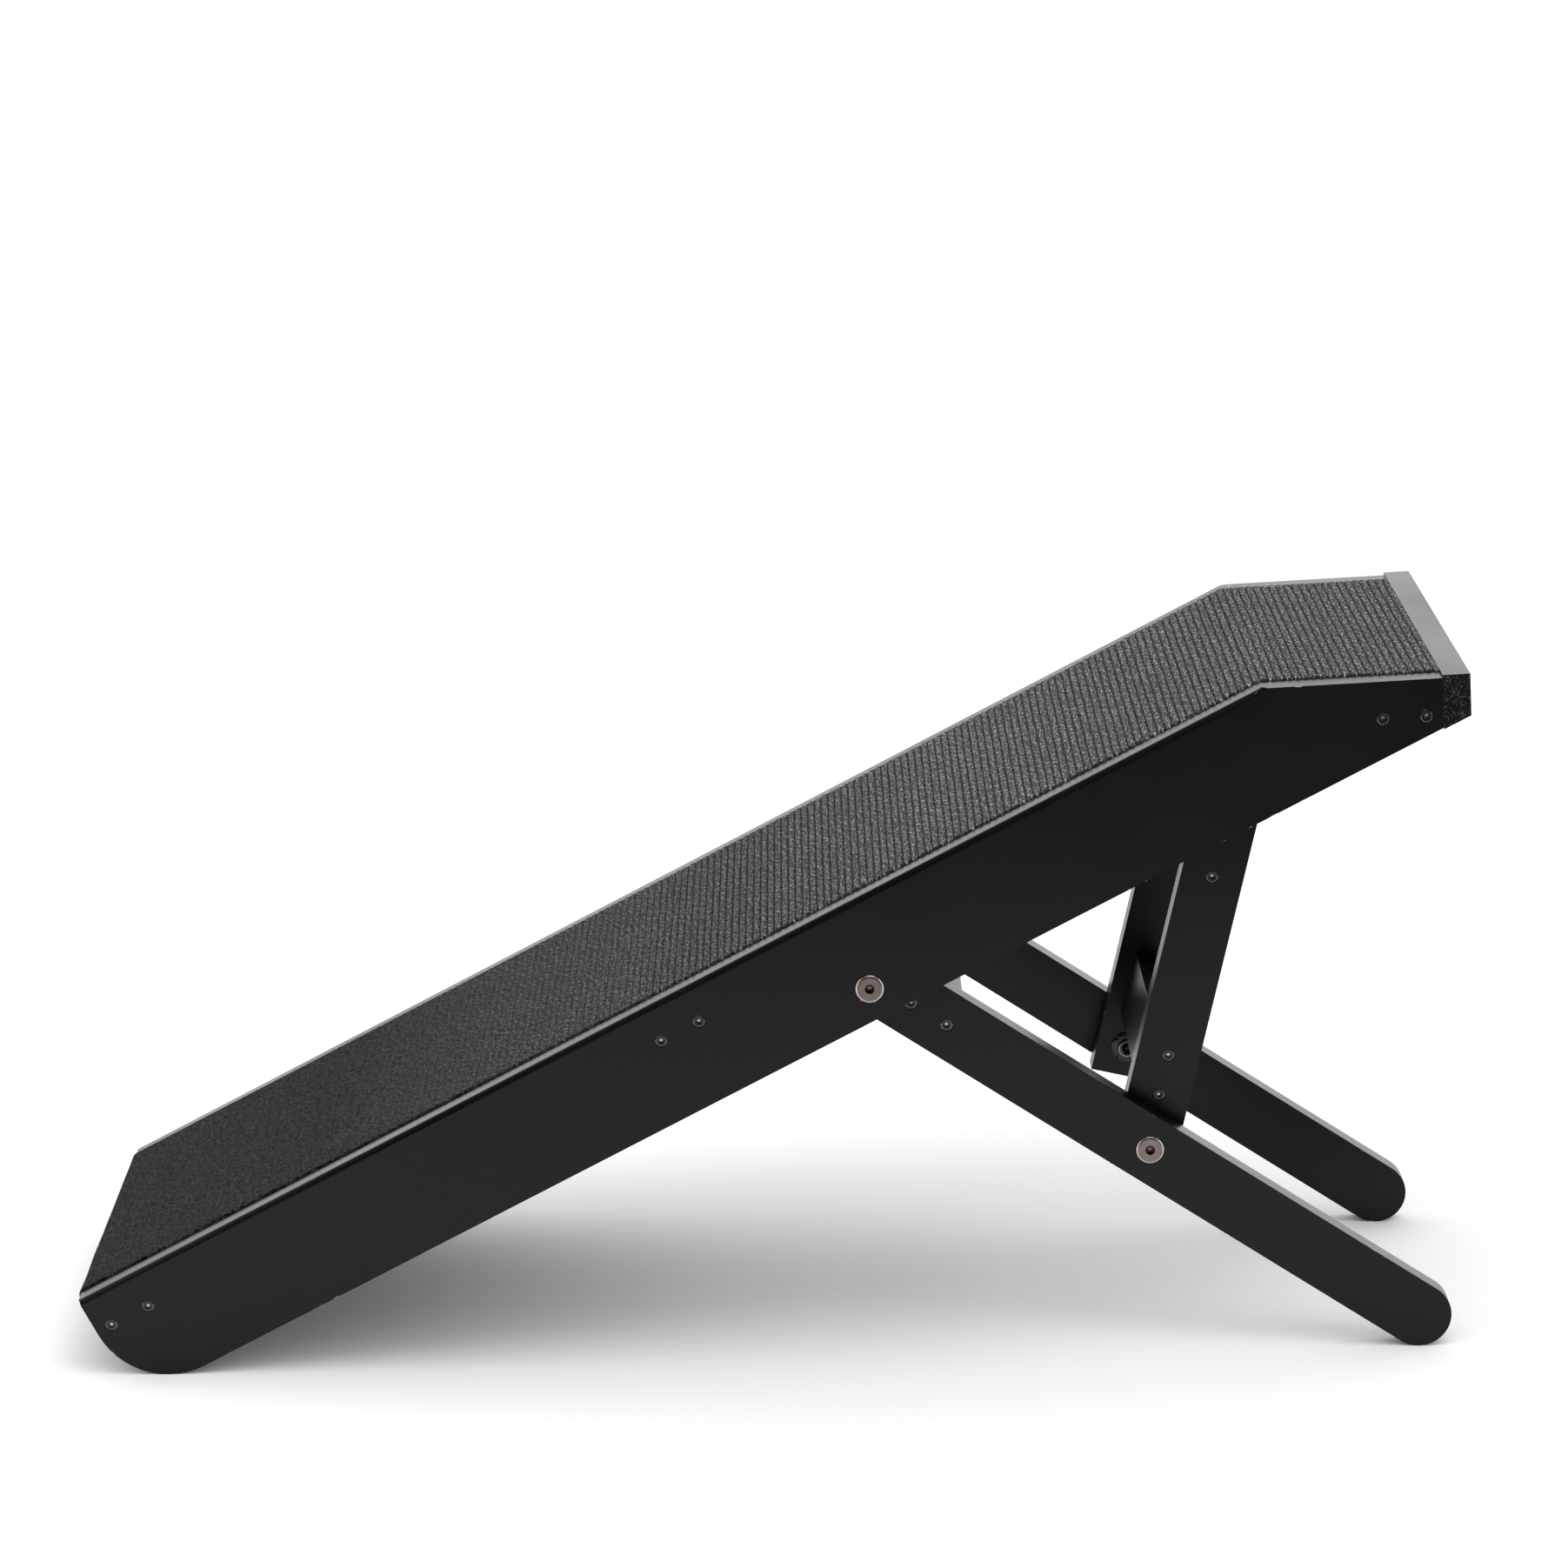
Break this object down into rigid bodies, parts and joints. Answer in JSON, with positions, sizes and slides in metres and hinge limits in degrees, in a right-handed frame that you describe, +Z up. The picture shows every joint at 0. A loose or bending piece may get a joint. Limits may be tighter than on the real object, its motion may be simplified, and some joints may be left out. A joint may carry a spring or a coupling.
{
  "type": "folding dog ramp",
  "caption": "Folding dog ramp: a ribbed-mat slope and level top between two side rails, propped on swinging legs by a strut frame whose rod sits in a notched rack.",
  "frame": {"origin": "centre of the part's box, on the floor it stands on", "axes": "+X up the ramp, from the low end to the nose board; +Y across it; +Z up"},
  "size_m": [0.93, 0.3324, 0.4746],
  "materials": {
    "black_paint": "satin black paint over wood",
    "grip_mat": "ribbed dark grey grip matting",
    "bronze_bolts": "bronze-grey plated steel",
    "black_screws": "black oxide",
    "zinc_steel": "bright zinc plate",
    "nylon_spacers": "black nylon"
  },
  "bodies": {
    "ramp": {"side_rail_left": "black_paint", "side_rail_right": "black_paint", "slope_deck": "black_paint", "platform_deck": "black_paint", "nose_board": "black_paint", "low_batten": "black_paint", "middle_batten": "black_paint", "top_batten": "black_paint", "grip_mat": "grip_mat", "notch_rack_left": "black_paint", "notch_rack_right": "black_paint", "low_batten_screws": "black_screws", "middle_batten_screws": "black_screws", "top_batten_screws": "black_screws", "nose_board_screws": "black_screws", "rack_screws": "black_screws", "main_bolt_left": "bronze_bolts", "main_bolt_right": "bronze_bolts", "main_spacer_left": "nylon_spacers", "main_spacer_right": "nylon_spacers", "main_nut_left": "black_screws", "main_nut_right": "black_screws"},
    "legs": {"leg_left": "black_paint", "leg_right": "black_paint", "leg_cross_board": "black_paint", "leg_board_screws": "black_screws", "strut_bolt_left": "bronze_bolts", "strut_bolt_right": "bronze_bolts", "strut_spacer_left": "nylon_spacers", "strut_spacer_right": "nylon_spacers", "strut_nut_left": "black_screws", "strut_nut_right": "black_screws"},
    "struts": {"strut_left": "black_paint", "strut_right": "black_paint", "strut_lower_board": "black_paint", "strut_upper_board": "black_paint", "strut_lower_screws": "black_screws", "strut_upper_screws": "black_screws", "strut_rod": "zinc_steel"}
  },
  "joints": [
    {"name": "leg_fold", "type": "hinge", "parent": "ramp", "child": "legs", "pos_m": [0.0708, 0, 0.26521], "axis": [0, 1, 0], "range_deg": [0, 119.2]},
    {"name": "strut_fold", "type": "hinge", "parent": "legs", "child": "struts", "pos_m": [0.25907, 0, 0.14201], "axis": [0, 1, 0], "range_deg": [0, 110.39]}
  ],
  "couplings": [
    {"joint": "strut_fold", "follows": "leg_fold", "ratio": 0.92603}
  ]
}
